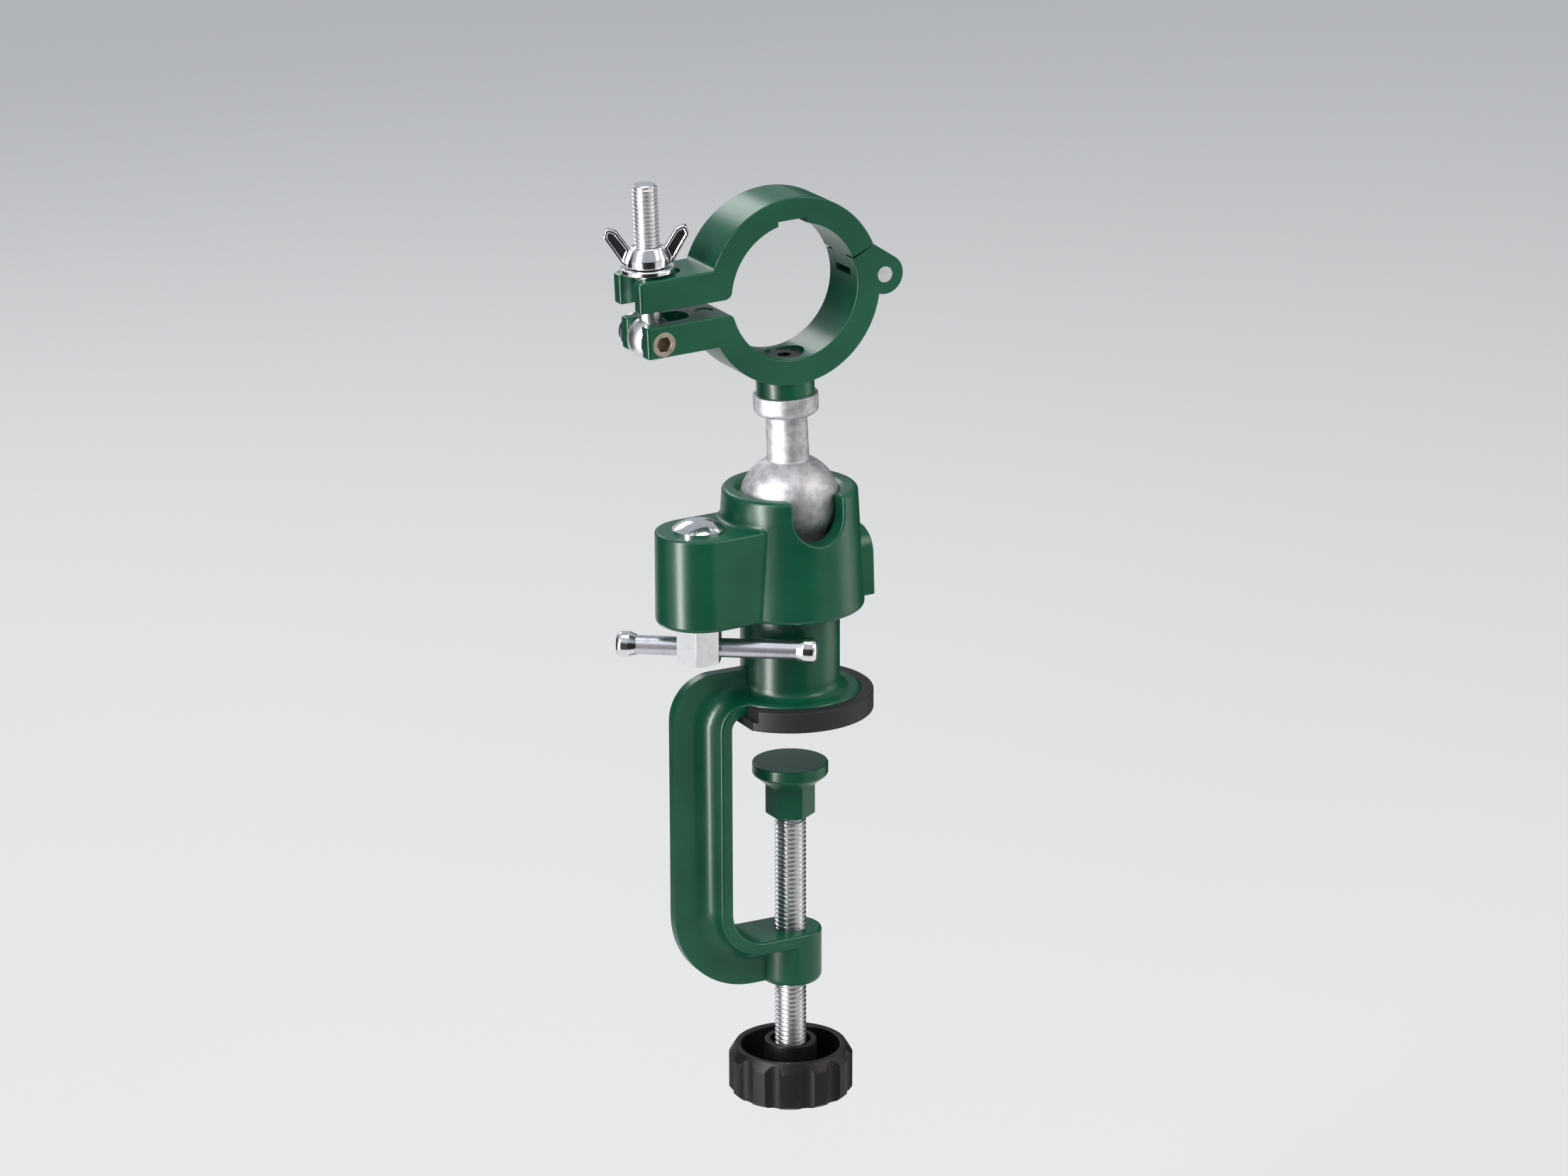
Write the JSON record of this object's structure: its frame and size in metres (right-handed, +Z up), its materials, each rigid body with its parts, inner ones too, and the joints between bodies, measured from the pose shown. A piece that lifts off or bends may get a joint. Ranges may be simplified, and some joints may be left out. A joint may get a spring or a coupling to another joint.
{
  "type": "table clamp with ball joint and ring clamp",
  "caption": "Table-edge clamp with a swivelling ball-joint head, locked by a tommy bar, that carries a hinged ring clamp closed by a swing bolt and wing nut.",
  "frame": {"origin": "centre of the pad's underside, where it rests on the table top, on the post's axis", "axes": "+Z up along the post and the spindle; the C reaches round the table's edge on the -X side; the head's notch and the ring's front face -Y"},
  "size_m": [0.0953, 0.0522, 0.3023],
  "materials": {
    "green_paint": "satin green powder coat on die casting",
    "pad_rubber": "matt black",
    "knob_plastic": "matt black, lightly grained",
    "seat_plastic": "plain",
    "zinc_steel": "zinc plated",
    "bright_zinc": "bright plated",
    "black_steel": "black oxide",
    "raw_cast": "raw casting, tumbled"
  },
  "bodies": {
    "clamp": {"clamp_frame": "green_paint", "base_pad": "pad_rubber"},
    "foot": {"pressure_foot": "green_paint"},
    "spindle": {"spindle": "zinc_steel", "spindle_knob": "knob_plastic", "knob_insert": "zinc_steel"},
    "head": {"swivel_head": "green_paint", "lock_bolt": "bright_zinc", "upper_wedge": "zinc_steel", "lower_wedge": "zinc_steel", "clamp_shoe": "zinc_steel", "ball_seat": "seat_plastic", "retaining_screw": "black_steel"},
    "lock_nut": {"lock_nut": "bright_zinc"},
    "tommy_bar": {"tommy_bar": "bright_zinc", "bar_end_caps": "bright_zinc"},
    "ball_stud": {"ball_stud": "raw_cast", "stud_screw": "black_steel"},
    "lower_jaw": {"lower_jaw": "green_paint", "hinge_pin": "zinc_steel", "pivot_sleeve": "zinc_steel", "pivot_screw": "bright_zinc"},
    "upper_jaw": {"upper_jaw": "green_paint"},
    "swing_bolt": {"swing_bolt": "zinc_steel"},
    "washer": {"washer": "bright_zinc"},
    "wing_nut": {"wing_nut": "bright_zinc"}
  },
  "joints": [
    {"name": "foot_slide", "type": "slide", "parent": "clamp", "child": "foot", "axis": [0, 0, 1], "range_m": [-0.037, 0.0175]},
    {"name": "spindle_spin", "type": "hinge", "parent": "foot", "child": "spindle", "pos_m": [0, 0, -0.08], "axis": [0, 0, 1], "range_deg": [-8885, 4205]},
    {"name": "head_swivel", "type": "hinge", "parent": "clamp", "child": "head", "pos_m": [0, 0, 0.041], "axis": [0, 0, 1], "continuous": true},
    {"name": "nut_turn", "type": "hinge", "parent": "head", "child": "lock_nut", "pos_m": [-0.0329, -0.00259, 0.0256], "axis": [0, 0, -1], "range_deg": [-1, 102]},
    {"name": "bar_slide", "type": "slide", "parent": "lock_nut", "child": "tommy_bar", "axis": [0.829, -0.5592, 0], "range_m": [-0.0236, 0.0127]},
    {"name": "ball_tilt", "type": "hinge", "parent": "head", "child": "ball_stud", "pos_m": [0, 0, 0.067], "axis": [1, 0, 0], "range_deg": [-45, 90]},
    {"name": "ring_spin", "type": "hinge", "parent": "ball_stud", "child": "lower_jaw", "pos_m": [-0.00127, 0, 0.09998], "axis": [-0.0384, 0, 0.9993], "continuous": true},
    {"name": "bolt_swing", "type": "hinge", "parent": "lower_jaw", "child": "swing_bolt", "pos_m": [-0.04718, 0, 0.12543], "axis": [0, -1, 0], "range_deg": [0, 100]},
    {"name": "washer_slide", "type": "slide", "parent": "swing_bolt", "child": "washer", "axis": [-0.0384, 0, 0.9993], "range_m": [-0.004, 0.02]},
    {"name": "wing_spin", "type": "hinge", "parent": "washer", "child": "wing_nut", "pos_m": [-0.04807, 0, 0.14872], "axis": [-0.0384, 0, 0.9993], "range_deg": [-1155, 5762]},
    {"name": "jaw_hinge", "type": "hinge", "parent": "lower_jaw", "child": "upper_jaw", "pos_m": [0.02829, 0, 0.13814], "axis": [0, 1, 0], "range_deg": [-3, 15]}
  ],
  "couplings": [
    {"joint": "spindle_spin", "follows": "foot_slide", "rad_per_m": 4188.8},
    {"joint": "wing_spin", "follows": "washer_slide", "rad_per_m": 5026.5},
    {"joint": "jaw_hinge", "follows": "washer_slide", "rad_per_m": 13.072}
  ]
}
